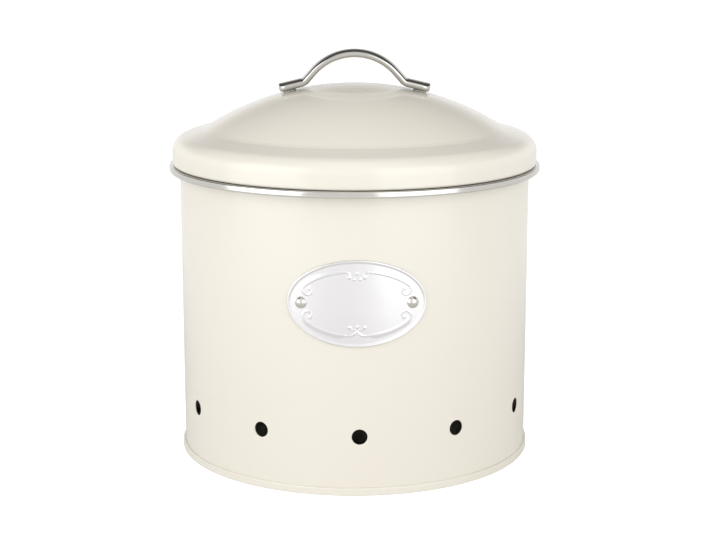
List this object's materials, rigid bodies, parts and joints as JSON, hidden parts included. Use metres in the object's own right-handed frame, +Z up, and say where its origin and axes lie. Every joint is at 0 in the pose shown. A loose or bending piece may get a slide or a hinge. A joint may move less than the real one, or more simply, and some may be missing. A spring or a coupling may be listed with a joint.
{
  "type": "potato storage bin",
  "caption": "Round enamelled steel storage bin with vent holes near its foot, a polished rim, an oval front plate and a domed lift-off lid with a strap handle.",
  "frame": {"origin": "on the table under the middle of the bin", "axes": "+Z up along the bin's axis, -Y towards the front where the plate is, +X to the right seen from the front, along the handle"},
  "size_m": [0.2492, 0.2492, 0.2715],
  "materials": {
    "cream_enamel": "smooth satin cream enamel paint on sheet steel",
    "rim_steel": "polished stainless steel",
    "plate_steel": "bright pressed steel, fine satin",
    "rivet_steel": "polished domed rivet",
    "handle_chrome": "polished chrome plate on a bent strap",
    "screw_steel": "zinc plated steel",
    "spacer_nylon": "natural nylon"
  },
  "bodies": {
    "bin": {"body_wall": "cream_enamel", "base_pan": "cream_enamel", "rim_band": "rim_steel", "name_plate": "plate_steel", "plate_rivets": "rivet_steel", "burr_washers": "rivet_steel"},
    "lid": {"lid_shell": "cream_enamel", "lid_skirt": "cream_enamel", "handle": "handle_chrome", "handle_screws": "screw_steel", "screw_washers": "screw_steel", "foot_spacers": "spacer_nylon"}
  },
  "joints": [
    {"name": "lid_lift", "type": "slide", "parent": "bin", "child": "lid", "axis": [0, 0, 1], "range_m": [0, 0.12]}
  ]
}
